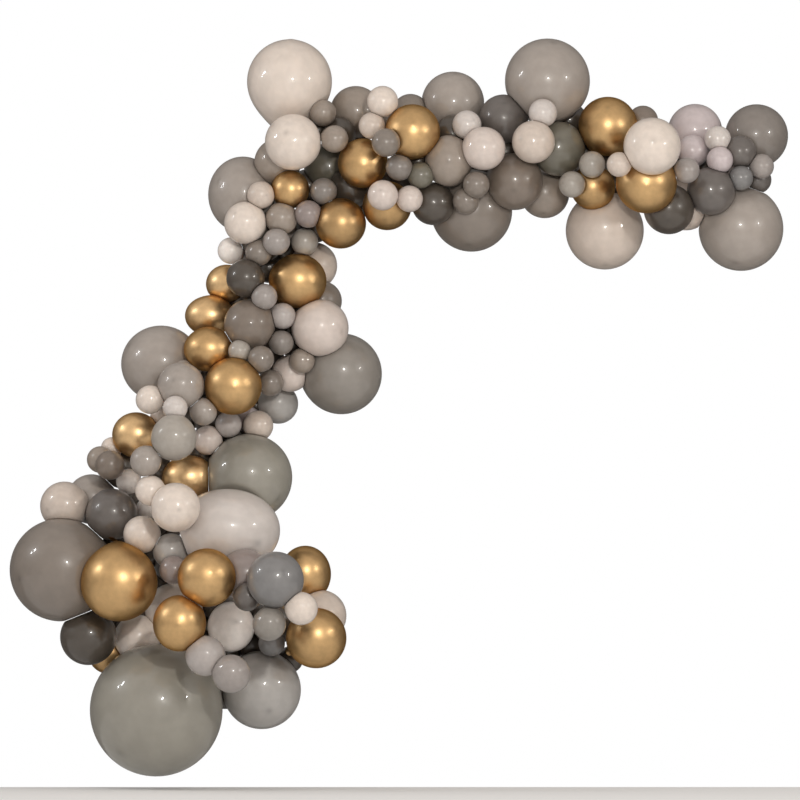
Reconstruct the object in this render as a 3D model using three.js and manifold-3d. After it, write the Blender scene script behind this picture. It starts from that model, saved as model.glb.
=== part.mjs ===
// Balloon garland for a wall: a corner of an arch with one level span, one curving arm
// and a heavy foot. Balloons are tied by their necks into a clear decorating strip that
// runs up the arm and along the span. Small ones are glued on the balloons they touch.
// Millimetres. X is along the span, Z is up, the wall is at Y = 0 and the front faces -Y.
import * as THREE from "three";
import { mergeVertices } from "three/addons/utils/BufferGeometryUtils.js";
import Module from "manifold-3d";

// Setting out. Places and radii are counted in squares of a grid on the wall, across from
// the left and down from the top. The origin is the hanger at the corner of the arch.
const SQUARE = 3.8;
const HANGER_ACROSS = 300;
const HANGER_DOWN = 165;

// The decorating strip, a flat band with its back on the wall.
const STRIP_WIDTH = 38;
const STRIP_THICKNESS = 2;
const STRIP_STEPS = 28;
const STRIP_COURSE = [
  [757, 176],
  [700, 168],
  [640, 166],
  [580, 166],
  [520, 158],
  [460, 156],
  [400, 152],
  [345, 150],
  [300, 165],
  [262, 205],
  [242, 262],
  [230, 325],
  [214, 385],
  [180, 440],
  [138, 500],
  [122, 560],
  [150, 615],
  [200, 655],
  [236, 690],
];

// How balloons meet. Two that press together sink in by SQUASH of the smaller one's width
// and part along a flat face, with GAP between sub-parts. The rim of the front one stands
// on the back one, at RIM of its radius. On the wall they flatten by WALL_PRESS of theirs.
// Two that press by less than TOUCH don't hold each other. Presses within EVEN are alike.
const SQUASH = 0.2;
const RIM = 0.8;
const WALL_PRESS = 0.15;
const GAP = 0.5;
const TOUCH = 2;
const EVEN = 0.01;
const DOT_RADIUS = 9;
const DOT_BITE = 0.45;

const LOOKS = {
  white: { color: "#dcd3cb", roughness: 0.32, metalness: 0 },
  pearl: { color: "#bab6b6", roughness: 0.3, metalness: 0 },
  grey: { color: "#a19b96", roughness: 0.3, metalness: 0 },
  slate: { color: "#6c696a", roughness: 0.28, metalness: 0 },
  gold: { color: "#bd8f4e", roughness: 0.24, metalness: 1 },
};

// Every balloon: colour, layer, squares across, squares down, radius in squares, and for one
// that isn't round its spread, how much wider and lower it is. Layers count out from the
// wall. Tied balloons are sub-parts of their own, and all others belong to their carrier:
// core ones, deep between the tied ones, small ones tucked in on the wall, and glued ones.
const ZONES = {
  end: {
    tied: [
      ["slate", 0, 764.5, 129.5, 33.2],
      ["grey", 0, 748, 227, 44.5],
      ["slate", 1, 716, 188, 25.5],
      ["pearl", 1, 700, 124.5, 28.6],
      ["slate", 1, 671.5, 207, 26.5],
      ["white", 0, 690, 201, 28],
    ],
    tucked: [
      ["grey", 0, 736, 166, 10],
      ["slate", 0, 678, 160, 12],
      ["slate", 0, 708, 162, 12],
    ],
    glued: [
      ["slate", 0, 766, 176, 14],
      ["slate", 2, 746.5, 147, 17],
      ["pearl", 2, 697, 146, 17],
      ["pearl", 3, 769, 162, 13],
      ["slate", 3, 747, 174.4, 13],
      ["white", 3, 723, 133.6, 14],
      ["pearl", 3, 725, 155.5, 14],
      ["pearl", 3, 689.6, 167, 13.5],
    ],
  },
  span: {
    tied: [
      ["white", 2, 653, 142.4, 30],
      ["gold", 1, 608, 120, 31],
      ["gold", 1, 647.5, 180, 32],
      ["white", 0, 605, 229, 41],
      ["slate", 1, 556, 143.5, 28.5],
      ["grey", 0, 542, 190, 26],
      ["grey", 0, 544.7, 72.3, 44.6],
      ["slate", 1, 510, 178, 30],
      ["slate", 1, 498.5, 112.5, 26],
      ["grey", 0, 445.5, 95, 33],
      ["grey", 1, 441, 156.7, 26, 0.96],
      ["grey", 0, 465, 208.5, 42.8],
      ["gold", 1, 403, 126.5, 29],
      ["gold", 1, 376.5, 203.5, 25.7],
    ],
    core: [
      ["slate", -1, 568, 113, 19],
      ["slate", 0, 583, 150, 24],
      ["slate", 0, 622, 150, 22],
      ["slate", 0, 446, 128, 20],
      ["slate", 0, 500, 148, 22],
    ],
    tucked: [
      ["slate", 0, 409, 157, 12],
      ["grey", 0, 376, 113, 11],
      ["slate", 0, 376, 173, 11],
      ["slate", 0, 473, 166, 11],
      ["slate", 0, 616, 181, 11],
      ["slate", 0, 393, 180, 14],
    ],
    glued: [
      ["slate", 0, 645, 114, 16],
      ["gold", 1, 592, 184, 23.5],
      ["pearl", 3, 591, 160.5, 14],
      ["pearl", 3, 570, 181.3, 14],
      ["white", 3, 618.5, 161.4, 13],
      ["white", 2, 539.5, 106.7, 15],
      ["white", 3, 529.5, 137, 22.5],
      ["slate", 0, 424.5, 201.3, 22.6],
      ["grey", 0, 401, 105, 19.5],
      ["slate", 2, 411.6, 172, 14],
      ["white", 2, 460, 119, 15.3],
      ["grey", 2, 459, 198.5, 14],
      ["white", 3, 477.6, 144, 22.8],
      ["grey", 3, 469.7, 181.6, 14],
      ["slate", 3, 389, 163.7, 14],
      ["white", 3, 400, 196.6, 14],
      ["white", 3, 372, 193, 16],
    ],
  },
  corner: {
    tied: [
      ["gold", 1, 351, 159, 26],
      ["grey", 0, 343.5, 104, 27],
      ["white", 0, 274, 72.9, 44.6],
      ["white", 2, 278, 137, 29.5],
      ["grey", 0, 225, 191.3, 38.2, 0.955],
      ["slate", 0, 314, 162, 25],
      ["gold", 1, 328, 222, 26.5],
    ],
    core: [
      ["slate", 0, 246, 238, 24],
      ["slate", 0, 300, 222, 20],
      ["slate", 0, 326, 128, 18],
    ],
    tucked: [
      ["slate", 0, 293, 182, 18],
      ["grey", 0, 277, 232, 10],
      ["slate", 0, 349, 132, 10],
      ["pearl", 0, 227, 258, 10],
      ["slate", 0, 350, 204, 11],
      ["slate", 0, 306, 203, 10],
      ["slate", 0, 303, 124, 12],
      ["slate", 0, 252, 268, 16],
      ["slate", 0, 274, 251, 14],
    ],
    glued: [
      ["slate", 0, 337, 185, 22],
      ["grey", 1, 261.8, 157.4, 24.6],
      ["gold", 1, 275, 186.5, 20],
      ["grey", 1, 265.7, 217, 17],
      ["pearl", 1, 212.6, 250.3, 14],
      ["grey", 1, 242, 252.5, 14],
      ["white", 2, 371.8, 94.5, 16.2],
      ["grey", 2, 309.3, 106, 14],
      ["slate", 2, 310, 188.3, 14],
      ["white", 2, 228, 221.5, 22.3],
      ["white", 3, 360.6, 120, 14],
      ["grey", 4, 375.3, 138, 15],
      ["grey", 3, 321.5, 133.8, 14.4],
      ["white", 3, 244.3, 192.3, 14.5],
      ["grey", 3, 294, 212.3, 14.5],
      ["pearl", 3, 260.6, 241.3, 14.3],
      ["pearl", 3, 290, 241, 14.3],
    ],
  },
  arm: {
    tied: [
      ["gold", 1, 282.7, 282.2, 29.4, 1.03],
      ["white", 0, 299, 266, 25],
      ["gold", 1, 190, 354, 25, 1.06],
      ["slate", 1, 232.5, 328, 27],
      ["white", 2, 306.2, 331.6, 30],
      ["grey", 0, 328.5, 379.5, 42.5],
      ["gold", 2, 215.5, 392.5, 30],
      ["grey", 0, 139, 369, 41, 1.02],
      ["grey", 1, 161, 392, 24.5],
    ],
    core: [
      ["slate", 0, 254, 318, 22],
      ["slate", 0, 246, 358, 22],
      ["slate", 0, 196, 424, 24],
    ],
    tucked: [
      ["slate", 0, 222, 304, 15],
      ["slate", 0, 185, 382, 11],
      ["slate", 0, 239, 413, 10],
      ["slate", 0, 273, 333, 10],
      ["slate", 0, 281, 312, 10],
      ["slate", 0, 185, 400, 10],
      ["slate", 0, 206, 449, 10],
      ["slate", 0, 279, 350, 14],
      ["slate", 0, 169, 426, 12],
      ["slate", 0, 222, 443, 12],
    ],
    glued: [
      ["white", 0, 138, 424, 10],
      ["white", 1, 222, 356, 12],
      ["grey", 0, 308, 303, 21],
      ["gold", 0, 208, 285, 21.2, 1.04],
      ["gold", 0, 190, 318.5, 23.4, 1.11],
      ["slate", 2, 228, 279.5, 20],
      ["grey", 0, 164, 377, 12],
      ["grey", 0, 262, 411, 21],
      ["pearl", 0, 230, 427.5, 14],
      ["white", 0, 241, 434, 16],
      ["white", 1, 275, 379, 19.5],
      ["grey", 1, 254, 389, 14],
      ["white", 1, 128.6, 406.6, 15],
      ["white", 1, 188.4, 449.2, 15.5],
      ["pearl", 1, 210, 432.7, 14],
      ["grey", 2, 244.6, 364, 13.8],
      ["white", 2, 155.3, 415.4, 13],
      ["grey", 2, 184.3, 419.3, 14.3],
      ["pearl", 2, 154, 446.5, 24],
      ["pearl", 3, 248, 299, 13.7],
      ["pearl", 3, 267, 319, 13.8],
      ["slate", 3, 265.7, 347, 13],
      ["grey", 3, 287.3, 366, 13.5],
    ],
  },
  shin: {
    tied: [
      ["gold", 1, 113.2, 443.6, 24.5, 1.03],
      ["gold", 1, 168.5, 489, 26.2, 1.09],
      ["grey", 0, 231.5, 488, 45.5],
      ["white", 3, 156, 519, 25.8],
      ["white", 1, 209.6, 543.3, 48.9, 1.125],
      ["slate", 2, 88, 527, 27.2],
      ["grey", 0, 66, 511.3, 26.3],
    ],
    core: [
      ["slate", 0, 98, 478, 22],
      ["slate", 0, 128, 530, 22],
    ],
    tucked: [
      ["slate", 0, 91, 556, 13],
      ["grey", 0, 111, 509, 10],
      ["slate", 0, 148, 546, 11],
      ["slate", 0, 138, 480, 14],
      ["slate", 0, 182, 465, 14],
    ],
    glued: [
      ["white", 0, 87.5, 457.5, 11.5],
      ["grey", 1, 75.5, 469.5, 14],
      ["pearl", 1, 105.5, 492.5, 13.5],
      ["pearl", 1, 125, 521, 12],
      ["white", 0, 38, 518, 25.5],
      ["slate", 2, 86.3, 475.3, 15.5],
      ["grey", 2, 124.6, 470.8, 16.3],
      ["white", 2, 129.5, 501.5, 16],
      ["white", 2, 120, 547.5, 19.5],
    ],
  },
  foot: {
    tied: [
      ["gold", 2, 96.5, 598, 40.2],
      ["grey", 0, 35, 585, 54],
      ["gold", 2, 188.7, 592, 30.5],
      ["slate", 2, 260.4, 594.2, 29.6],
      ["gold", 0, 290.5, 590, 28.5, 0.95],
      ["white", 0, 306.8, 633.4, 27],
      ["gold", 2, 302.3, 656.3, 31.7],
      ["grey", 1, 244.8, 711.4, 41.2],
      ["pearl", 1, 212.8, 644.8, 25.6, 0.97],
      ["white", 1, 153, 630, 31],
      ["gold", 2, 160.3, 639.5, 28.6, 0.97],
      ["white", 1, 114, 657, 24.5],
      ["slate", 1, 63.4, 655.2, 29.6],
      ["grey", 1, 134.5, 732, 69.5],
    ],
    core: [
      ["slate", 0, 204, 618, 24],
      ["slate", 0, 258, 640, 24],
      ["slate", 0, 176, 668, 20],
      ["slate", 0, 152, 580, 20],
    ],
    tucked: [
      ["slate", 0, 128, 571, 12],
      ["slate", 0, 141, 598, 11],
      ["slate", 0, 93, 641, 12],
      ["slate", 0, 235, 629, 11],
      ["slate", 0, 188, 644, 12],
      ["slate", 0, 120, 632, 10],
      ["slate", 0, 140, 661, 10],
      ["slate", 0, 234, 664, 16],
      ["slate", 0, 274, 680, 14],
      ["slate", 0, 206, 712, 20],
      ["slate", 0, 210, 670, 14],
    ],
    glued: [
      ["gold", 0, 84, 673, 22],
      ["grey", 1, 228.5, 589.5, 27],
      ["grey", 1, 150, 565, 18.5],
      ["grey", 1, 153.5, 584.5, 15],
      ["slate", 1, 231, 612, 15],
      ["slate", 1, 255.5, 662, 14],
      ["grey", 2, 254, 640, 17.5],
      ["white", 3, 287.3, 623.8, 17.3],
      ["grey", 3, 187.5, 673.5, 21],
      ["pearl", 3, 214.6, 692, 20],
    ],
  },
};

// One entry per balloon, in millimetres, with the back layers first.
const balloons = [];
for (const [zone, lists] of Object.entries(ZONES)) {
  for (const [fixing, rows] of Object.entries(lists)) {
    rows.forEach(([colour, layer, across, down, radius, spread = 1], i) => {
      balloons.push({
        name: zone + "_" + colour + "_" + (i + 1),
        tied: fixing === "tied",
        core: fixing === "core" || fixing === "tucked",
        tucked: fixing === "tucked",
        colour,
        layer,
        squares: radius,
        x: (across - HANGER_ACROSS) * SQUARE,
        z: (HANGER_DOWN - down) * SQUARE,
        r: radius * SQUARE,
        spread,
        reach: radius * SQUARE * Math.max(spread, 1 / spread),
      });
    });
  }
}
balloons.sort((a, b) => a.layer - b.layer);

// How much further forward the front one of two balloons stands.
function rise(front, back) {
  const apart = Math.hypot(front.x - back.x, front.z - back.z);
  if (apart >= front.r + back.r) return -Infinity;
  const pressed = front.r + back.r - 2 * SQUASH * Math.min(front.r, back.r);
  const body = pressed ** 2 - apart ** 2;
  const rim = (RIM * back.r) ** 2 - (apart - front.r) ** 2;
  return Math.sqrt(Math.max(body, rim, 0));
}

function distance(a, b) {
  return Math.hypot(a.x - b.x, a.y - b.y, a.z - b.z);
}

function pressBetween(a, b) {
  return a.r + b.r - distance(a, b);
}

// Each balloon is pushed back until it meets the wall or a balloon behind it. Nothing rests
// on the tucked ones.
const wall = STRIP_THICKNESS + GAP;
balloons.forEach((balloon, i) => {
  const behind = balloons.slice(0, i).filter((other) => !other.tucked && !balloon.tucked);
  const seats = behind.map((other) => rise(balloon, other) - other.y);
  balloon.y = -Math.max(wall + balloon.r * (1 - WALL_PRESS), ...seats);
});

// One that touches nothing comes forward until it meets the back of another.
for (const balloon of balloons) {
  const others = balloons.filter((other) => other !== balloon);
  if (others.some((other) => pressBetween(balloon, other) > TOUCH)) continue;
  const front = others.filter((other) => other.y < balloon.y);
  const stops = front.map((other) => -other.y - rise(other, balloon));
  const nearest = Math.min(...stops);
  if (Number.isFinite(nearest)) balloon.y = -Math.max(nearest, -balloon.y);
}

// Glued balloons are carried by the one they press hardest, starting from the tied ones.
const carriers = balloons.filter((balloon) => balloon.tied);
const waiting = balloons.filter((balloon) => !balloon.tied);
while (waiting.length > 0) {
  let best = { press: -Infinity };
  for (const balloon of waiting) {
    for (const carrier of carriers) {
      const press = pressBetween(balloon, carrier);
      if (press > best.press + EVEN) best = { balloon, carrier, press };
    }
  }
  best.balloon.carrier = best.carrier;
  best.balloon.press = best.press;
  carriers.push(best.balloon);
  waiting.splice(waiting.indexOf(best.balloon), 1);
}
function owner(balloon) {
  return balloon.carrier ? owner(balloon.carrier) : balloon;
}

const wasm = await Module();
wasm.setup();

// A closed three.js geometry as a solid that can be joined to others.
function solidOf(geometry) {
  const flat = geometry.index ? geometry.toNonIndexed() : geometry;
  const bare = new THREE.BufferGeometry();
  bare.setAttribute("position", flat.getAttribute("position"));
  const merged = mergeVertices(bare, 1e-3);
  return new wasm.Manifold(
    new wasm.Mesh({
      numProp: 3,
      vertProperties: merged.attributes.position.array,
      triVerts: new Uint32Array(merged.index.array),
    }),
  );
}

// The joined solid back as a three.js geometry.
function geometryOf(solid) {
  const mesh = solid.getMesh();
  const geometry = new THREE.BufferGeometry();
  geometry.setAttribute("position", new THREE.BufferAttribute(mesh.vertProperties, 3));
  geometry.setIndex(new THREE.BufferAttribute(mesh.triVerts, 1));
  geometry.computeVertexNormals();
  return geometry;
}

function materialOf(colour) {
  return new THREE.MeshStandardMaterial(LOOKS[colour]);
}

function centreOf(balloon) {
  return new THREE.Vector3(balloon.x, balloon.y, balloon.z);
}

// A ball with its balloon's spread, at its place.
function placed(ball, balloon) {
  ball.scale(balloon.spread, 1, 1 / balloon.spread);
  return solidOf(ball.translate(balloon.x, balloon.y, balloon.z));
}

// A tied balloon is a ball of few flat faces, with more of them the larger it is. A glued
// one has one corner turned to its carrier, and a core one the same with fewer faces.
function ballOf(balloon) {
  if (balloon.tied) {
    const detail = balloon.squares < 46 ? 1 : 2;
    return placed(new THREE.IcosahedronGeometry(balloon.r, detail), balloon);
  }
  const Shape = balloon.core ? THREE.OctahedronGeometry : THREE.IcosahedronGeometry;
  const ball = new Shape(balloon.r);
  const corner = new THREE.Vector3().fromBufferAttribute(ball.getAttribute("position"), 0);
  corner.normalize();
  const inward = centreOf(balloon.carrier).sub(centreOf(balloon)).normalize();
  ball.applyQuaternion(new THREE.Quaternion().setFromUnitVectors(corner, inward));
  return placed(ball, balloon);
}

for (const balloon of balloons) balloon.ball = ballOf(balloon);

// A glue dot reaches from inside the carrier to inside the glued balloon.
function glueDot(balloon) {
  const from = centreOf(balloon.carrier);
  const along = centreOf(balloon).sub(from);
  const apart = along.length();
  along.normalize();
  const start = balloon.carrier.r * (1 - DOT_BITE);
  const end = apart - balloon.r * (1 - DOT_BITE);
  const dot = new THREE.CylinderGeometry(DOT_RADIUS, DOT_RADIUS, end - start, 4);
  const up = new THREE.Vector3(0, 1, 0);
  dot.applyQuaternion(new THREE.Quaternion().setFromUnitVectors(up, along));
  const middle = from.addScaledVector(along, (start + end) / 2);
  return solidOf(dot.translate(middle.x, middle.y, middle.z));
}

// The solid flattened where its balloon presses the wall or a balloon of another sub-part.
function flattened(solid, balloon) {
  let kept = solid.trimByPlane([0, -1, 0], wall);
  for (const other of balloons) {
    const apart = distance(balloon, other);
    if (owner(other) === owner(balloon) || apart > balloon.reach + other.reach) continue;
    if (balloon.ball.intersect(other.ball).isEmpty()) continue;
    const away = centreOf(balloon).sub(centreOf(other)).divideScalar(apart);
    const face = (apart ** 2 + balloon.r ** 2 - other.r ** 2) / (2 * apart) - GAP / 2;
    const offset = away.dot(centreOf(balloon)) - face;
    kept = kept.trimByPlane(away.toArray(), offset);
  }
  return kept;
}

const garland = new THREE.Group();

// The strip: its course as a smooth curve on the wall, widened to a band.
const course = new THREE.SplineCurve(
  STRIP_COURSE.map(
    ([across, down]) =>
      new THREE.Vector2((across - HANGER_ACROSS) * SQUARE, (HANGER_DOWN - down) * SQUARE),
  ),
);
const edges = [1, -1].map((side) => {
  const edge = [];
  for (let i = 0; i <= STRIP_STEPS; i++) {
    const tangent = course.getTangent(i / STRIP_STEPS);
    const point = course.getPoint(i / STRIP_STEPS);
    point.x -= (side * tangent.y * STRIP_WIDTH) / 2;
    point.y += (side * tangent.x * STRIP_WIDTH) / 2;
    edge.push(point);
  }
  return edge;
});
const band = new THREE.Shape([...edges[0], ...edges[1].reverse()]);
const stripShape = new THREE.ExtrudeGeometry(band, {
  depth: STRIP_THICKNESS,
  bevelEnabled: false,
});
const strip = new THREE.Mesh(
  stripShape,
  new THREE.MeshStandardMaterial({ color: "#d9dcdc", roughness: 0.2, metalness: 0 }),
);
strip.name = "strip";
strip.rotation.x = Math.PI / 2;
garland.add(strip);

// Each tied balloon with everything that is glued on it, directly or through another.
for (const balloon of balloons.filter((b) => b.tied)) {
  let solid = flattened(balloon.ball, balloon);
  for (const other of balloons) {
    if (other === balloon || owner(other) !== balloon) continue;
    solid = solid.add(flattened(other.ball, other));
    const apart = solid.decompose().length > 1;
    if (apart) solid = solid.add(flattened(flattened(glueDot(other), other), other.carrier));
  }
  const mesh = new THREE.Mesh(geometryOf(solid), materialOf(balloon.colour));
  mesh.name = balloon.name;
  garland.add(mesh);
}

export default garland;
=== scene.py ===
# A half arch of balloons on a plain wall: a level span, a curving arm and a heavy foot.
# Metres. X runs along the span, Z is up, the wall is at Y = 0 and the front faces -Y.
import math
from types import SimpleNamespace

import bpy
import numpy as np
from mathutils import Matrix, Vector


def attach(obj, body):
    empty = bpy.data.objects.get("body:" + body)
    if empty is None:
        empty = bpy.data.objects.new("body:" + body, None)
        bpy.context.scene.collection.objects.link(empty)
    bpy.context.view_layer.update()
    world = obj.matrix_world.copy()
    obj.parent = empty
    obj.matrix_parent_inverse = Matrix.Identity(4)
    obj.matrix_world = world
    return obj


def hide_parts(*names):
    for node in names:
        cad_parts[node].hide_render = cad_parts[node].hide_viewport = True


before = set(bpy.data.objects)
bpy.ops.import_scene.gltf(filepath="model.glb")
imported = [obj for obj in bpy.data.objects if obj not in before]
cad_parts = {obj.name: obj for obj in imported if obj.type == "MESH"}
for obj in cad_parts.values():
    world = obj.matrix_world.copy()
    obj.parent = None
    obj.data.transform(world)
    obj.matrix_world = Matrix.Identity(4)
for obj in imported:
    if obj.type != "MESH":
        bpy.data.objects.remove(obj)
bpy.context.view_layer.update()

# The garland was set out on a grid drawn on the wall, with squares 3.8 mm wide. Places are
# counted in squares across from the left and down from the top, and the origin is the
# hanger at the corner of the arch.
SQUARE = 0.0038
HANGER_ACROSS = 300
HANGER_DOWN = 165


def on_wall(across, down):
    return (across - HANGER_ACROSS) * SQUARE, (HANGER_DOWN - down) * SQUARE


# The camera looks straight at the wall from far off, level with the middle of the garland,
# so that every balloon is seen from the front.
VIEW_ACROSS = 390
VIEW_DOWN = 407
VIEW_WIDTH = 838
VIEW_DISTANCE = 60.0
VIEW_PLANE = -0.28
view_x, view_z = on_wall(VIEW_ACROSS, VIEW_DOWN)
camera = bpy.data.objects.new("camera", bpy.data.cameras.new("camera"))
camera.location = (view_x, VIEW_PLANE - VIEW_DISTANCE, view_z)
camera.rotation_euler = (math.radians(90), 0, 0)
camera.data.sensor_width = 36
camera.data.lens = camera.data.sensor_width * VIEW_DISTANCE / (VIEW_WIDTH * SQUARE)
camera.data.clip_end = 200
bpy.context.scene.collection.objects.link(camera)
bpy.context.scene.camera = camera


# The room: a pale floor just under the foot, soft daylight from above and in front, two
# small lamps near the camera and a pair of window panes at the left. The backdrop is plain
# white and lights nothing.
FLOOR_Z = -2.47
FLOOR_SIZE = 12.0
FLOOR_BACK = 0.1
FLOOR_COLOUR = (0.93, 0.94, 0.95)
MIDDLE_PLANE = -0.3
ROOM_DIM = 0.15
ROOM_BRIGHT = 0.77
DAYLIGHT_WAY = (-0.1, -0.72, 0.68)

half = FLOOR_SIZE / 2
floor_corners = ((-half, -FLOOR_SIZE), (half, -FLOOR_SIZE), (half, FLOOR_BACK), (-half, FLOOR_BACK))
floor_mesh = bpy.data.meshes.new("studio_floor")
floor_mesh.from_pydata([(x, y, FLOOR_Z) for x, y in floor_corners], [], [(0, 1, 2, 3)])
floor = bpy.data.objects.new("studio_floor", floor_mesh)
bpy.context.scene.collection.objects.link(floor)
floor_paint = bpy.data.materials.new("pale_floor")
floor_paint.use_nodes = True
paint = floor_paint.node_tree.nodes["Principled BSDF"]
paint.inputs["Base Color"].default_value = (*FLOOR_COLOUR, 1)
paint.inputs["Roughness"].default_value = 0.8
floor_mesh.materials.append(floor_paint)

middle = Vector((view_x, MIDDLE_PLANE, view_z))


def lamp(name, direction, distance, width, height, watts, colour):
    light = bpy.data.lights.new(name, "AREA")
    light.shape = "RECTANGLE"
    light.size = width
    light.size_y = height
    light.energy = watts
    light.color = colour
    obj = bpy.data.objects.new(name, light)
    away = Vector(direction).normalized()
    obj.location = middle + away * distance
    obj.rotation_euler = away.to_track_quat("Z", "Y").to_euler()
    bpy.context.scene.collection.objects.link(obj)


lamp("near_lamp", (0.10, -0.96, 0.24), 9.0, 0.36, 0.36, 220, (1.0, 0.96, 0.9))
lamp("side_lamp", (0.79, -0.55, 0.27), 9.0, 0.36, 0.36, 110, (1.0, 0.96, 0.9))
lamp("window_pane", (-0.93, -0.2, 0.48), 8.0, 0.45, 0.8, 45, (0.96, 0.98, 1.0))
lamp("other_pane", (-0.95, -0.12, 0.36), 8.0, 0.4, 0.5, 22, (0.96, 0.98, 1.0))

world = bpy.data.worlds.new("studio")
world.use_nodes = True
bpy.context.scene.world = world
room = world.node_tree
daylight = room.nodes["Background"]
daylight.inputs["Color"].default_value = (1.0, 0.94, 0.885, 1)
towards = room.nodes.new("ShaderNodeTexCoord")
facing = room.nodes.new("ShaderNodeVectorMath")
facing.operation = "DOT_PRODUCT"
facing.inputs[1].default_value = Vector(DAYLIGHT_WAY).normalized()
fall_off = room.nodes.new("ShaderNodeMapRange")
fall_off.interpolation_type = "SMOOTHSTEP"
fall_off.inputs["From Min"].default_value = -0.5
fall_off.inputs["From Max"].default_value = 1.0
fall_off.inputs["To Min"].default_value = ROOM_DIM
fall_off.inputs["To Max"].default_value = ROOM_BRIGHT
room.links.new(towards.outputs["Generated"], facing.inputs[0])
room.links.new(facing.outputs["Value"], fall_off.inputs["Value"])
room.links.new(fall_off.outputs["Result"], daylight.inputs["Strength"])
backdrop = room.nodes.new("ShaderNodeBackground")
backdrop.inputs["Color"].default_value = (1, 1, 1, 1)
backdrop.inputs["Strength"].default_value = 1.0
seen = room.nodes.new("ShaderNodeLightPath")
either = room.nodes.new("ShaderNodeMixShader")
room.links.new(seen.outputs["Is Camera Ray"], either.inputs["Fac"])
room.links.new(daylight.outputs["Background"], either.inputs[1])
room.links.new(backdrop.outputs["Background"], either.inputs[2])
room.links.new(either.outputs["Shader"], room.nodes["World Output"].inputs["Surface"])
bpy.context.scene.view_settings.view_transform = "Standard"


# The decorating strip is a clear plastic tape with a row of punched holes. Necks are pushed
# through the holes from the front, and wall hooks catch the tape behind the balloons.
STRIP_WIDTH = 0.038
STRIP_BACK = -0.0002
STRIP_FRONT = -0.0018
STRIP_COURSE = [
    (757, 176),
    (700, 168),
    (640, 166),
    (580, 166),
    (520, 158),
    (460, 156),
    (400, 152),
    (345, 150),
    (300, 165),
    (262, 205),
    (242, 262),
    (230, 325),
    (214, 385),
    (180, 440),
    (138, 500),
    (122, 560),
    (150, 615),
    (200, 655),
    (236, 690),
]
CELL_COUNT = 120
HOLE_SIDES = 16
HOLE_RADIUS = 0.008
CLEAR = (0.86, 0.89, 0.9)

course_points = [Vector(on_wall(*place)) for place in STRIP_COURSE]


def course_at(share):
    """A point on the strip's smooth course, and its direction, at a share of its steps."""
    spot = share * (len(course_points) - 1)
    i = min(int(spot), len(course_points) - 2)
    t = spot - i
    p0 = course_points[max(i - 1, 0)]
    p1 = course_points[i]
    p2 = course_points[i + 1]
    p3 = course_points[min(i + 2, len(course_points) - 1)]
    a = (p2 - p0) * 0.5
    b = (p3 - p1) * 0.5
    point = p1 * (2 * t**3 - 3 * t**2 + 1) + a * (t**3 - 2 * t**2 + t)
    point += p2 * (3 * t**2 - 2 * t**3) + b * (t**3 - t**2)
    slope = p1 * (6 * t**2 - 6 * t) + a * (3 * t**2 - 4 * t + 1)
    slope += p2 * (6 * t - 6 * t**2) + b * (3 * t**2 - 2 * t)
    return point, slope.normalized()


def strip_point(along, across, ahead, y):
    point, slope = course_at(along)
    side = Vector((-slope.y, slope.x))
    spot = point + side * across + slope * ahead
    return (spot.x, y, spot.y)


strip_verts = []
strip_faces = []
for cell in range(CELL_COUNT):
    start = cell / CELL_COUNT
    end = (cell + 1) / CELL_COUNT
    for y in (STRIP_BACK, STRIP_FRONT):
        rim = []
        hole = []
        for k in range(HOLE_SIDES):
            turn = 2 * math.pi * (k + 0.5) / HOLE_SIDES
            c = math.cos(turn)
            s = math.sin(turn)
            square = 1 / max(abs(c), abs(s))
            along = start + (end - start) * (0.5 + 0.5 * c * square)
            rim.append(strip_point(along, STRIP_WIDTH / 2 * s * square, 0, y))
            hole.append(strip_point((start + end) / 2, HOLE_RADIUS * s, HOLE_RADIUS * c, y))
        strip_verts += rim + hole
    first = cell * HOLE_SIDES * 4
    for k in range(HOLE_SIDES):
        n = (k + 1) % HOLE_SIDES
        rim_back, hole_back = first, first + HOLE_SIDES
        rim_front, hole_front = first + 2 * HOLE_SIDES, first + 3 * HOLE_SIDES
        strip_faces.append((rim_back + k, hole_back + k, hole_back + n, rim_back + n))
        strip_faces.append((rim_front + n, hole_front + n, hole_front + k, rim_front + k))
        strip_faces.append((hole_back + k, hole_front + k, hole_front + n, hole_back + n))
        strip_faces.append((rim_back + n, rim_front + n, rim_front + k, rim_back + k))
strip_mesh = bpy.data.meshes.new("decorating_strip")
strip_mesh.from_pydata(strip_verts, [], strip_faces)
strip = bpy.data.objects.new("decorating_strip", strip_mesh)
bpy.context.scene.collection.objects.link(strip)

clear_plastic = bpy.data.materials.new("clear_strip")
clear_plastic.use_nodes = True
tree = clear_plastic.node_tree
tape = tree.nodes["Principled BSDF"]
tape.inputs["Base Color"].default_value = (*CLEAR, 1)
tape.inputs["Transmission Weight"].default_value = 0.6
tape.inputs["IOR"].default_value = 1.45
scuff = tree.nodes.new("ShaderNodeTexNoise")
scuff.inputs["Scale"].default_value = 40
scuff_range = tree.nodes.new("ShaderNodeMapRange")
scuff_range.inputs["To Min"].default_value = 0.12
scuff_range.inputs["To Max"].default_value = 0.4
tree.links.new(scuff.outputs["Fac"], scuff_range.inputs["Value"])
tree.links.new(scuff_range.outputs["Result"], tape.inputs["Roughness"])
strip_mesh.materials.append(clear_plastic)
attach(strip, "root")
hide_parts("strip")


# Latex is cast thin and stretches thinner: its colour is paler over the belly and deeper
# round the crown and the neck, where the skin stays thick. It has a satin gloss, a faint
# cloudiness, and fine bloom that dulls the shine in patches.
def shader(name):
    material = bpy.data.materials.new(name)
    material.use_nodes = True
    return material, material.node_tree, material.node_tree.nodes["Principled BSDF"]


def noise(tree, scale, detail):
    texture = tree.nodes.new("ShaderNodeTexNoise")
    texture.inputs["Scale"].default_value = scale
    texture.inputs["Detail"].default_value = detail
    return texture.outputs["Fac"]


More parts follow.
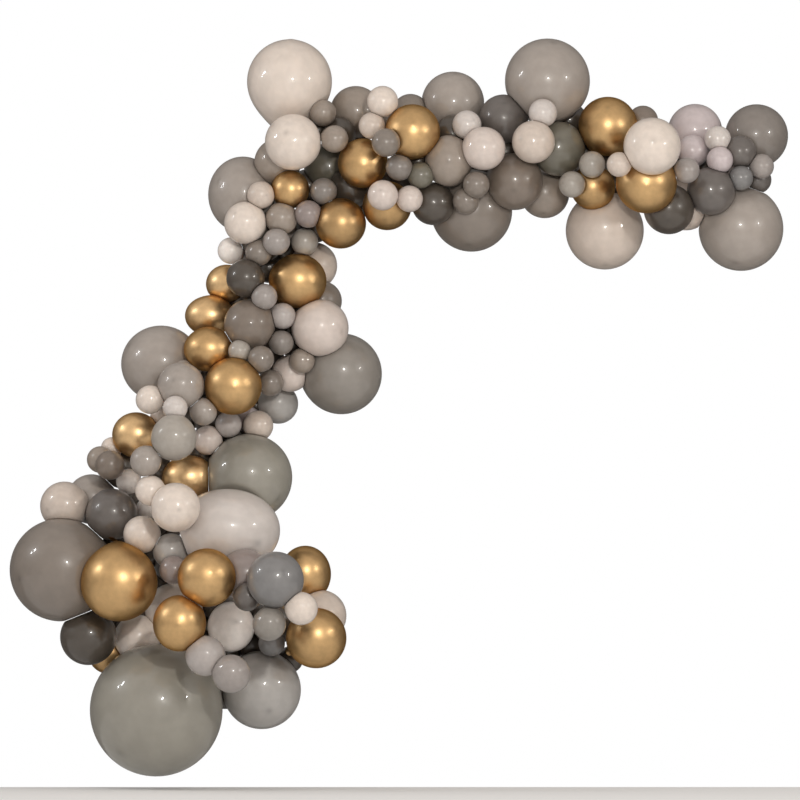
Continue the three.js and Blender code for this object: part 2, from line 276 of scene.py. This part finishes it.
def ranged(tree, value, low, high, new_low, new_high):
    node = tree.nodes.new("ShaderNodeMapRange")
    node.inputs["From Min"].default_value = low
    node.inputs["From Max"].default_value = high
    node.inputs["To Min"].default_value = new_low
    node.inputs["To Max"].default_value = new_high
    tree.links.new(value, node.inputs["Value"])
    return node.outputs["Result"]


def blend(tree, share, first, second):
    node = tree.nodes.new("ShaderNodeMix")
    node.data_type = "RGBA"
    tree.links.new(share, node.inputs["Factor"])
    for socket, colour in ((node.inputs[6], first), (node.inputs[7], second)):
        if isinstance(colour, tuple):
            socket.default_value = (*colour, 1)
        else:
            tree.links.new(colour, socket)
    return node.outputs[2]


def bump(tree, height, strength, distance, below=None):
    node = tree.nodes.new("ShaderNodeBump")
    node.inputs["Strength"].default_value = strength
    node.inputs["Distance"].default_value = distance
    tree.links.new(height, node.inputs["Height"])
    if below:
        tree.links.new(below, node.inputs["Normal"])
    return node.outputs["Normal"]


def tone(colour, factor):
    return tuple(min(part * factor, 1.0) for part in colour)


def thick_skin(tree):
    """How thick the skin is: 0 over the belly, 1 at the crown and along the neck."""
    skin = tree.nodes.new("ShaderNodeAttribute")
    skin.attribute_name = "skin"
    return skin.outputs["Fac"]


def latex(name, colour, clarity):
    material, tree, skin = shader(name)
    cloud = ranged(tree, noise(tree, 7, 2), 0.35, 0.65, 0, 1)
    belly = blend(tree, cloud, tone(colour, 0.95), tone(colour, 1.05))
    tree.links.new(blend(tree, thick_skin(tree), belly, tone(colour, 0.55)), skin.inputs["Base Color"])
    bloom = ranged(tree, noise(tree, 16, 3), 0.35, 0.7, 0.3, 0.42)
    tree.links.new(bloom, skin.inputs["Roughness"])
    ripple = bump(tree, noise(tree, 9, 1), 0.08, 0.004)
    grain = bump(tree, noise(tree, 300, 1), 0.03, 0.0003, ripple)
    tree.links.new(grain, skin.inputs["Normal"])
    skin.inputs["IOR"].default_value = 1.52
    skin.inputs["Coat Weight"].default_value = 0.6
    skin.inputs["Coat Roughness"].default_value = 0.05
    skin.inputs["Subsurface Weight"].default_value = clarity
    skin.inputs["Subsurface Radius"].default_value = (0.03, 0.024, 0.02)
    skin.inputs["Subsurface Scale"].default_value = 1.0
    return material


# Chrome latex carries a metallic pigment: a satin mirror, warmer and darker at the rim.
def chrome_latex(name, colour, rim):
    material, tree, skin = shader(name)
    cloud = ranged(tree, noise(tree, 9, 3), 0.35, 0.65, 0, 1)
    belly = blend(tree, cloud, tone(colour, 0.93), tone(colour, 1.05))
    tree.links.new(blend(tree, thick_skin(tree), belly, tone(colour, 0.6)), skin.inputs["Base Color"])
    satin = ranged(tree, noise(tree, 14, 3), 0.35, 0.7, 0.36, 0.44)
    tree.links.new(satin, skin.inputs["Roughness"])
    ripple = bump(tree, noise(tree, 8, 1), 0.1, 0.004)
    grain = bump(tree, noise(tree, 300, 1), 0.04, 0.0003, ripple)
    tree.links.new(grain, skin.inputs["Normal"])
    skin.inputs["Metallic"].default_value = 1.0
    skin.inputs["Specular Tint"].default_value = (*rim, 1)
    return material


LATEX = {
    "white": latex("white_latex", (0.616, 0.539, 0.496), 0.12),
    # A lighter copy of the white, painted light: it lifts white balloons that lie in the shade of
    # others.
    "white_bright": latex("painted_light_white_latex", (0.88, 0.79, 0.72), 0.12),
    "white_cream": latex("cream_latex", (0.705, 0.624, 0.56), 0.12),
    "white_beige": latex("beige_latex", (0.58, 0.50, 0.44), 0.12),
    "white_lilac": latex("milk_latex", (0.589, 0.543, 0.516), 0.12),
    "pearl": latex("pearl_latex", (0.406, 0.37, 0.354), 0.08),
    "pearl_grey": latex("grey_pearl_latex", (0.31, 0.28, 0.265), 0.08),
    # Milky pearl, made lighter than the balloons' own tone: painted light for pearl balloons lying in
    # the shade of others.
    "pearl_milk": latex("milk_pearl_painted_light_latex", (0.88, 0.82, 0.775), 0.1),
    "pearl_lilac": latex("lilac_pearl_latex", (0.53, 0.465, 0.475), 0.08),
    "pearl_green": latex("sage_pearl_latex", (0.358, 0.328, 0.293), 0.08),
    "grey": latex("grey_latex", (0.335, 0.297, 0.268), 0.06),
    "grey_lilac": latex("lilac_grey_latex", (0.261, 0.217, 0.205), 0.06),
    "grey_green": latex("sage_grey_latex", (0.279, 0.265, 0.229), 0.06),
    "grey_warm": latex("taupe_grey_latex", (0.293, 0.247, 0.209), 0.06),
    "grey_cool": latex("cool_grey_latex", (0.4, 0.385, 0.37), 0.06),
    "grey_stone": latex("stone_grey_latex", (0.245, 0.225, 0.203), 0.06),
    "grey_deep": latex("deep_grey_latex", (0.205, 0.175, 0.15), 0.05),
    "slate": latex("slate_latex", (0.118, 0.104, 0.096), 0.03),
    "slate_lilac": latex("lilac_slate_latex", (0.203, 0.18, 0.163), 0.03),
    "slate_green": latex("sage_slate_latex", (0.149, 0.139, 0.109), 0.03),
    "slate_warm": latex("taupe_slate_latex", (0.182, 0.147, 0.12), 0.03),
    "slate_cool": latex("cool_slate_latex", (0.188, 0.185, 0.186), 0.03),
    # Near-black slate is painted shade: fillers and balloons sunk among others take it so that the
    # gaps between balloons show as deep shade.
    "slate_deep": latex("painted_shade_slate_latex", (0.062, 0.05, 0.039), 0.02),
    "gold": chrome_latex("chrome_gold_latex", (0.636, 0.419, 0.203), (0.5, 0.34, 0.2)),
    # A paler copy of the gold, painted light for gold balloons lying in the shade of others.
    "gold_pale": chrome_latex("painted_light_gold_latex", (0.83, 0.575, 0.305), (0.5, 0.34, 0.2)),
    "gold_rose": chrome_latex("warm_gold_latex", (0.52, 0.34, 0.165), (0.5, 0.33, 0.2)),
}


# The right end of the span, round a large grey balloon low at the edge and a slate one
# above it. In every list a balloon has its shade, its layer from the wall, its place and
# its radius in squares, and for one that isn't round its spread, how much wider and lower
# it is. Tied ones go through the strip, core ones fill the middle, tucked ones close small
# gaps on the wall, and glued ones sit on their neighbours. Most core and tucked ones, and a
# few others, take the near-black slate: painted shade that darkens the gaps between them.
ZONES = {}
ZONES["end"] = {
    "tied": [
        ("slate_lilac", 0, 764.5, 129.5, 33.2),
        ("grey", 0, 748, 227, 44.5),
        ("slate", 1, 716, 188, 25.5),
        ("pearl_lilac", 1, 700, 124.5, 28.6),
        ("slate_deep", 1, 671.5, 207, 26.5),
        ("white_beige", 0, 690, 201, 28),
    ],
    "tucked": [
        ("grey_lilac", 0, 736, 166, 10),
        ("slate_deep", 0, 678, 160, 12),
        ("slate_deep", 0, 708, 162, 12),
    ],
    "glued": [
        ("slate", 0, 766, 176, 14),
        ("slate", 2, 746.5, 147, 17),
        ("pearl_lilac", 2, 697, 146, 17),
        ("pearl_grey", 3, 769, 162, 13),
        ("slate_cool", 3, 747, 174.4, 13),
        ("white_lilac", 3, 723, 133.6, 14),
        ("pearl_lilac", 3, 725, 155.5, 14),
        ("pearl_grey", 3, 689.6, 167, 13.5),
    ],
}

# The level span, with large balloons above and below it, three gold ones near the right and
# two beside the corner.
ZONES["span"] = {
    "tied": [
        ("white_cream", 2, 653, 142.4, 30),
        ("gold", 1, 608, 120, 31),
        ("gold", 1, 647.5, 180, 32),
        ("white_beige", 0, 605, 229, 41),
        ("slate_green", 1, 556, 143.5, 28.5),
        ("grey_warm", 0, 542, 190, 26),
        ("grey", 0, 544.7, 72.3, 44.6),
        ("slate_warm", 1, 510, 178, 30),
        ("slate", 1, 498.5, 112.5, 26),
        ("grey", 0, 445.5, 95, 33),
        ("grey_warm", 1, 441, 156.7, 26, 0.96),
        ("grey_deep", 0, 465, 208.5, 42.8),
        ("gold", 1, 403, 126.5, 29),
        ("gold_rose", 1, 376.5, 203.5, 25.7),
    ],
    "core": [
        ("slate_deep", -1, 568, 113, 19),
        ("slate_deep", 0, 583, 150, 24),
        ("slate_deep", 0, 622, 150, 22),
        ("slate_deep", 0, 446, 128, 20),
        ("slate_deep", 0, 500, 148, 22),
    ],
    "tucked": [
        ("slate_deep", 0, 409, 157, 12),
        ("grey_warm", 0, 376, 113, 11),
        ("slate_deep", 0, 376, 173, 11),
        ("slate_deep", 0, 473, 166, 11),
        ("slate_deep", 0, 616, 181, 11),
        ("slate_deep", 0, 393, 180, 14),
    ],
    "glued": [
        ("slate_warm", 0, 645, 114, 16),
        ("gold_rose", 1, 592, 184, 23.5),
        ("pearl_green", 3, 591, 160.5, 14),
        ("pearl_green", 3, 570, 181.3, 14),
        ("white_beige", 3, 618.5, 161.4, 13),
        ("white_lilac", 2, 539.5, 106.7, 15),
        ("white_beige", 3, 529.5, 137, 22.5),
        ("slate_deep", 0, 424.5, 201.3, 22.6),
        ("grey_deep", 0, 401, 105, 19.5),
        ("slate_green", 2, 411.6, 172, 14),
        ("white_lilac", 2, 460, 119, 15.3),
        ("grey_deep", 2, 459, 198.5, 14),
        ("white", 3, 477.6, 144, 22.8),
        ("grey_deep", 3, 469.7, 181.6, 14),
        ("slate_lilac", 3, 389, 163.7, 14),
        ("white", 3, 400, 196.6, 14),
        ("white", 3, 372, 193, 16),
    ],
}

# The corner of the arch, under one large white balloon that stands on a smaller one.
ZONES["corner"] = {
    "tied": [
        ("gold", 1, 351, 159, 26),
        ("grey_warm", 0, 343.5, 104, 27),
        ("white_cream", 0, 274, 72.9, 44.6),
        ("white_cream", 2, 278, 137, 29.5),
        ("grey", 0, 225, 191.3, 38.2, 0.955),
        ("slate_green", 0, 314, 162, 25),
        ("gold_rose", 1, 328, 222, 26.5),
    ],
    "core": [
        ("slate_deep", 0, 246, 238, 24),
        ("slate_deep", 0, 300, 222, 20),
        ("slate_deep", 0, 326, 128, 18),
    ],
    "tucked": [
        ("slate_deep", 0, 293, 182, 18),
        ("grey", 0, 277, 232, 10),
        ("slate_deep", 0, 349, 132, 10),
        ("pearl", 0, 227, 258, 10),
        ("slate_deep", 0, 350, 204, 11),
        ("slate_deep", 0, 306, 203, 10),
        ("slate_deep", 0, 303, 124, 12),
        ("slate_deep", 0, 252, 268, 16),
        ("slate_deep", 0, 274, 251, 14),
    ],
    "glued": [
        ("slate_deep", 0, 337, 185, 22),
        ("grey_warm", 1, 261.8, 157.4, 24.6),
        ("gold", 1, 275, 186.5, 20),
        ("grey_warm", 1, 265.7, 217, 17),
        ("pearl_milk", 1, 212.6, 250.3, 14),
        ("grey_deep", 1, 242, 252.5, 14),
        ("white_cream", 2, 371.8, 94.5, 16.2),
        ("grey_warm", 2, 309.3, 106, 14),
        ("slate_lilac", 2, 310, 188.3, 14),
        ("white_cream", 2, 228, 221.5, 22.3),
        ("white_beige", 3, 360.6, 120, 14),
        ("grey_deep", 4, 375.3, 138, 15),
        ("grey_warm", 3, 321.5, 133.8, 14.4),
        ("white_beige", 3, 244.3, 192.3, 14.5),
        ("grey_lilac", 3, 294, 212.3, 14.5),
        ("pearl_grey", 3, 260.6, 241.3, 14.3),
        ("pearl_green", 3, 290, 241, 14.3),
    ],
}

# The arm below the corner, with a row of gold balloons down its outer side.
ZONES["arm"] = {
    "tied": [
        ("gold", 1, 282.7, 282.2, 29.4, 1.03),
        ("white_beige", 0, 299, 266, 25),
        ("gold", 1, 190, 354, 25, 1.06),
        ("slate_warm", 1, 232.5, 328, 27),
        ("white", 2, 306.2, 331.6, 30),
        ("grey_stone", 0, 328.5, 379.5, 42.5),
        ("gold", 2, 215.5, 392.5, 30),
        ("grey", 0, 139, 369, 41, 1.02),
        ("grey", 1, 161, 392, 24.5),
    ],
    "core": [
        ("slate_deep", 0, 254, 318, 22),
        ("slate_deep", 0, 246, 358, 22),
        ("slate_deep", 0, 196, 424, 24),
    ],
    "tucked": [
        ("slate_deep", 0, 222, 304, 15),
        ("slate_deep", 0, 185, 382, 11),
        ("slate_deep", 0, 239, 413, 10),
        ("slate_deep", 0, 273, 333, 10),
        ("slate_deep", 0, 281, 312, 10),
        ("slate_deep", 0, 185, 400, 10),
        ("slate_deep", 0, 206, 449, 10),
        ("slate_deep", 0, 279, 350, 14),
        ("slate_deep", 0, 169, 426, 12),
        ("slate_deep", 0, 222, 443, 12),
    ],
    "glued": [
        ("white_beige", 0, 138, 424, 10),
        # A white balloon drawn in the darker sage pearl: painted shade, for a balloon that sits in the
        # shade of its neighbours.
        ("pearl_green", 1, 222, 356, 12),
        ("grey_deep", 0, 308, 303, 21),
        ("gold_pale", 0, 208, 285, 21.2, 1.04),
        ("gold_pale", 0, 190, 318.5, 23.4, 1.11),
        ("slate_deep", 2, 228, 279.5, 20),
        ("grey", 0, 164, 377, 12),
        ("grey_cool", 0, 262, 411, 21),
        ("pearl_lilac", 0, 230, 427.5, 14),
        ("white_beige", 0, 241, 434, 16),
        ("white", 1, 275, 379, 19.5),
        ("grey_deep", 1, 254, 389, 14),
        ("white_cream", 1, 128.6, 406.6, 15),
        ("white", 1, 188.4, 449.2, 15.5),
        ("pearl", 1, 210, 432.7, 14),
        ("grey_deep", 2, 244.6, 364, 13.8),
        ("white_lilac", 2, 155.3, 415.4, 13),
        ("grey", 2, 184.3, 419.3, 14.3),
        ("pearl_green", 2, 154, 446.5, 24),
        ("pearl_grey", 3, 248, 299, 13.7),
        ("pearl", 3, 267, 319, 13.8),
        ("slate_lilac", 3, 265.7, 347, 13),
        ("grey_warm", 3, 287.3, 366, 13.5),
    ],
}

# The lower arm, where it swells: two large balloons on the inner side, small ones outside.
ZONES["shin"] = {
    "tied": [
        ("gold_pale", 1, 113.2, 443.6, 24.5, 1.03),
        ("gold_pale", 1, 168.5, 489, 26.2, 1.09),
        ("grey_green", 0, 231.5, 488, 45.5),
        ("white_cream", 3, 156, 519, 25.8),
        ("white_lilac", 1, 209.6, 543.3, 48.9, 1.125),
        ("slate", 2, 88, 527, 27.2),
        ("grey", 0, 66, 511.3, 26.3),
    ],
    "core": [
        ("slate_deep", 0, 98, 478, 22),
        ("slate_deep", 0, 128, 530, 22),
    ],
    "tucked": [
        ("slate_deep", 0, 91, 556, 13),
        ("grey", 0, 111, 509, 10),
        ("slate_deep", 0, 148, 546, 11),
        ("slate_deep", 0, 138, 480, 14),
        ("slate_deep", 0, 182, 465, 14),
    ],
    "glued": [
        ("white_cream", 0, 87.5, 457.5, 11.5),
        ("grey_warm", 1, 75.5, 469.5, 14),
        ("pearl_milk", 1, 105.5, 492.5, 13.5),
        ("pearl_milk", 1, 125, 521, 12),
        ("white_beige", 0, 38, 518, 25.5),
        ("slate_warm", 2, 86.3, 475.3, 15.5),
        ("grey", 2, 124.6, 470.8, 16.3),
        ("white_cream", 2, 129.5, 501.5, 16),
        ("white_cream", 2, 120, 547.5, 19.5),
    ],
}

# The foot, a heap round the largest balloon of all, with gold ones over it.
ZONES["foot"] = {
    "tied": [
        ("gold", 2, 96.5, 598, 40.2),
        ("grey_deep", 0, 35, 585, 54),
        ("gold", 2, 188.7, 592, 30.5),
        ("slate_cool", 2, 260.4, 594.2, 29.6),
        ("gold", 0, 290.5, 590, 28.5, 0.95),
        ("white_beige", 0, 306.8, 633.4, 27),
        ("gold", 2, 302.3, 656.3, 31.7),
        ("grey_cool", 1, 244.8, 711.4, 41.2),
        ("pearl_milk", 1, 212.8, 644.8, 25.6, 0.97),
        ("white_bright", 1, 153, 630, 31),
        ("gold", 2, 160.3, 639.5, 28.6, 0.97),
        ("white_bright", 1, 114, 657, 24.5),
        ("slate_deep", 1, 63.4, 655.2, 29.6),
        ("grey_green", 1, 134.5, 732, 69.5),
    ],
    "core": [
        ("slate_deep", 0, 204, 618, 24),
        ("slate_deep", 0, 258, 640, 24),
        ("slate_deep", 0, 176, 668, 20),
        ("slate_deep", 0, 152, 580, 20),
    ],
    "tucked": [
        ("slate_deep", 0, 128, 571, 12),
        ("slate_deep", 0, 141, 598, 11),
        ("slate_deep", 0, 93, 641, 12),
        ("slate_deep", 0, 235, 629, 11),
        ("slate_deep", 0, 188, 644, 12),
        ("slate_deep", 0, 120, 632, 10),
        ("slate_deep", 0, 140, 661, 10),
        ("slate_deep", 0, 234, 664, 16),
        ("slate_deep", 0, 274, 680, 14),
        ("slate_deep", 0, 206, 712, 20),
        ("slate_deep", 0, 210, 670, 14),
    ],
    "glued": [
        ("gold_rose", 0, 84, 673, 22),
        ("grey_lilac", 1, 228.5, 589.5, 27),
        ("grey_cool", 1, 150, 565, 18.5),
        ("grey_lilac", 1, 153.5, 584.5, 15),
        ("slate", 1, 231, 612, 15),
        ("slate_cool", 1, 255.5, 662, 14),
        ("grey_stone", 2, 254, 640, 17.5),
        ("white_cream", 3, 287.3, 623.8, 17.3),
        ("pearl", 3, 187.5, 673.5, 21),
        ("pearl_grey", 3, 214.6, 692, 20),
    ],
}


# Pressed together, the balloons stand as deep as their neighbours let them. Two that meet
# sink in by a share of the smaller one's width and part along a flat face. The rim of the
# front one stands on the back one, and the ones on the wall flatten a little.
SQUASH = 0.2
RIM = 0.8
WALL_PRESS = 0.15
WALL_GAP = 0.0025
TOUCH = 0.002
EVEN = 0.00001

balloons = []
for zone, lists in ZONES.items():
    for fixing, rows in lists.items():
        for i, (shade, layer, across, down, radius, *given) in enumerate(rows):
            x, z = on_wall(across, down)
            spread = given[0] if given else 1.0
            balloons.append(
                SimpleNamespace(
                    name=f"{zone}_{shade.split('_')[0]}_{i + 1}",
                    tied=fixing == "tied",
                    fixing=fixing,
                    shade=shade,
                    layer=layer,
                    squares=radius,
                    r=radius * SQUARE,
                    x=x,
                    y=0.0,
                    z=z,
                    spread=spread,
                    reach=radius * SQUARE * max(spread, 1 / spread),
                    carrier=None,
                )
            )
balloons.sort(key=lambda balloon: balloon.layer)


def rise(front, back):
    """How much further forward the front one of two balloons stands."""
    apart = math.hypot(front.x - back.x, front.z - back.z)
    if apart >= front.r + back.r:
        return -math.inf
    pressed = front.r + back.r - 2 * SQUASH * min(front.r, back.r)
    body = pressed**2 - apart**2
    rim = (RIM * back.r) ** 2 - (apart - front.r) ** 2
    return math.sqrt(max(body, rim, 0))


def distance(a, b):
    return math.dist((a.x, a.y, a.z), (b.x, b.y, b.z))


def press_between(a, b):
    return a.r + b.r - distance(a, b)


for i, balloon in enumerate(balloons):
    behind = [] if balloon.fixing == "tucked" else balloons[:i]
    seats = [rise(balloon, other) - other.y for other in behind if other.fixing != "tucked"]
    balloon.y = -max(WALL_GAP + balloon.r * (1 - WALL_PRESS), *seats, 0)

for balloon in balloons:
    others = [other for other in balloons if other is not balloon]
    if any(press_between(balloon, other) > TOUCH for other in others):
        continue
    stops = [-other.y - rise(other, balloon) for other in others if other.y < balloon.y]
    nearest = min(stops, default=math.inf)
    if math.isfinite(nearest):
        balloon.y = -max(nearest, -balloon.y)

carriers = [balloon for balloon in balloons if balloon.tied]
waiting = [balloon for balloon in balloons if not balloon.tied]
while waiting:
    hardest = -math.inf
    for one in waiting:
        for other in carriers:
            press = press_between(one, other)
            if press > hardest + EVEN:
                hardest = press
                balloon, carrier = one, other
    balloon.carrier = carrier
    carriers.append(balloon)
    waiting.remove(balloon)


def owner(balloon):
    return owner(balloon.carrier) if balloon.carrier else balloon


# A latex balloon is a round bag with a small crown where it left its mould. Towards the
# neck it draws out to a point, then come the knot and the rolled lip. The neck's profile
# gives each ring's place past the ball and its width, both in neck radii.
TAPER = 0.15
TAPER_START = math.radians(95)
CROWN_SPREAD = math.radians(5)
NECK_SPREAD = math.radians(16)
CROWN_SKIN = 0.5
CROWN_HEIGHT = 0.012
NECK_RADIUS = 0.004
NECK_SHARE = 0.045
NECK_PROFILE = [
    (0.0, 1.0),
    (0.5, 0.82),
    (1.0, 0.74),
    (1.5, 0.95),
    (2.0, 1.45),
    (2.5, 1.5),
    (2.9, 0.95),
    (3.3, 0.9),
    (3.9, 1.35),
    (4.3, 1.75),
    (4.5, 1.9),
    (4.6, 1.75),
    (4.4, 1.5),
    (4.0, 1.0),
]
FLAT_GAP = 0.0001
SOFT_SHARE = 0.008


def fineness(balloon):
    """Segments round and rings along a balloon, more of them the larger it is."""
    if balloon.fixing in ("core", "tucked"):
        return 28, 18
    if balloon.squares < 23:
        return 40, 28
    if balloon.squares < 36:
        return 56, 36
    return 96, 64


def balloon_rings(r, neck, taper, ring_count):
    """Each ring's place along the axis, its radius and how thick the skin is there."""
    end = math.pi - math.asin(neck / (r * (1 + taper)))
    rings = []
    for i in range(ring_count + 1):
        turn = end * i / ring_count
        drawn = max(turn - TAPER_START, 0) / (end - TAPER_START)
        reach = r * (1 + taper * drawn**4)
        crown = math.exp(-((turn / CROWN_SPREAD) ** 2))
        skin = CROWN_SKIN * crown + math.exp(-(((end - turn) / NECK_SPREAD) ** 2))
        nipple = CROWN_HEIGHT * r * crown
        rings.append((reach * math.cos(turn) + nipple, reach * math.sin(turn), min(skin, 1)))
    foot = rings[-1][0]
    for along, width in NECK_PROFILE[1:]:
        rings.append((foot - along * neck, width * neck, 1.0))
    return rings


def balloon_points(balloon, neck_way, taper):
    """The balloon's points round its centre, its faces and its skin thickness."""
    around, ring_count = fineness(balloon)
    neck = NECK_RADIUS + NECK_SHARE * balloon.r
    rings = balloon_rings(balloon.r, neck, taper, ring_count)
    axis = -neck_way.normalized()
    side = axis.orthogonal().normalized()
    axis, side, front = (np.array(way) for way in (axis, side, axis.cross(side)))
    turns = 2 * np.pi * np.arange(around) / around
    points = [rings[0][0] * axis]
    thickness = [rings[0][2]]
    for along, width, skin in rings[1:]:
        circle = np.outer(np.cos(turns), side) + np.outer(np.sin(turns), front)
        points.extend(along * axis + width * circle)
        thickness.extend([skin] * around)
    points.append(rings[-1][0] * axis)
    thickness.append(1.0)
    last = len(points) - 1
    faces = []
    for k in range(around):
        n = (k + 1) % around
        faces.append((0, 1 + k, 1 + n))
        faces.append((last, last - around + n, last - around + k))
        for ring in range(len(rings) - 2):
            first = 1 + ring * around
            faces.append((first + k, first + around + k, first + around + n, first + n))
    return np.array(points), faces, thickness


def flat_faces(balloon):
    """The planes that a balloon is pressed flat on: a way out and how far it reaches."""
    planes = [(np.array((0.0, 1.0, 0.0)), -balloon.y - WALL_GAP)]
    for other in balloons:
        apart = distance(balloon, other)
        if other is balloon or apart > balloon.reach + other.reach:
            continue
        way = np.array((other.x - balloon.x, other.y - balloon.y, other.z - balloon.z)) / apart
        reach = (apart**2 + balloon.r**2 - other.r**2) / (2 * apart)
        planes.append((way, reach - FLAT_GAP))
    return planes


def pressed_flat(points, balloon):
    soft = SOFT_SHARE * balloon.r
    for _ in range(2):
        for way, reach in flat_faces(balloon):
            out = points @ way
            kept = -soft * np.logaddexp(-out / soft, -reach / soft)
            points = points + np.outer(kept - out, way)
    return points


STRIP_SPOTS = [course_at(i / 200)[0] for i in range(201)]


def nearest_on_strip(balloon):
    return min(STRIP_SPOTS, key=lambda spot: math.hypot(spot.x - balloon.x, spot.y - balloon.z))


# Tied balloons turn their necks to the strip, and glued ones to the balloon that carries
# them, where the glue dot hides it. Two are seen with their necks another way: the white one
# at the corner, drawn out downwards, and the large gold one of the foot, with its neck up.
OWN_NECKS = {
    "corner_white_3": (Vector((-0.05, 0.1, -1)), 0.34),
    "foot_gold_1": (Vector((-0.03, 0.25, 1)), 0.12),
}
for balloon in balloons:
    taper = TAPER
    if balloon.tied and balloon.name in OWN_NECKS:
        neck_way, taper = OWN_NECKS[balloon.name]
    elif balloon.tied:
        spot = nearest_on_strip(balloon)
        neck_way = Vector((spot.x - balloon.x, -balloon.y, spot.y - balloon.z))
    else:
        carrier = balloon.carrier
        neck_way = Vector((carrier.x - balloon.x, carrier.y - balloon.y, carrier.z - balloon.z))
    points, faces, thickness = balloon_points(balloon, neck_way, taper)
    points *= (balloon.spread, 1, 1 / balloon.spread)
    points = pressed_flat(points, balloon) + np.array((balloon.x, balloon.y, balloon.z))
    piece_name = f"{balloon.name}_{balloon.fixing}_balloon"
    mesh = bpy.data.meshes.new(piece_name)
    mesh.from_pydata(points.tolist(), [], faces)
    mesh.polygons.foreach_set("use_smooth", [True] * len(faces))
    skin = mesh.attributes.new("skin", "FLOAT", "POINT")
    skin.data.foreach_set("value", thickness)
    mesh.materials.append(LATEX[balloon.shade])
    mesh.update()
    piece = bpy.data.objects.new(piece_name, mesh)
    bpy.context.scene.collection.objects.link(piece)
    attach(piece, "root")
    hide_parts(owner(balloon).name)
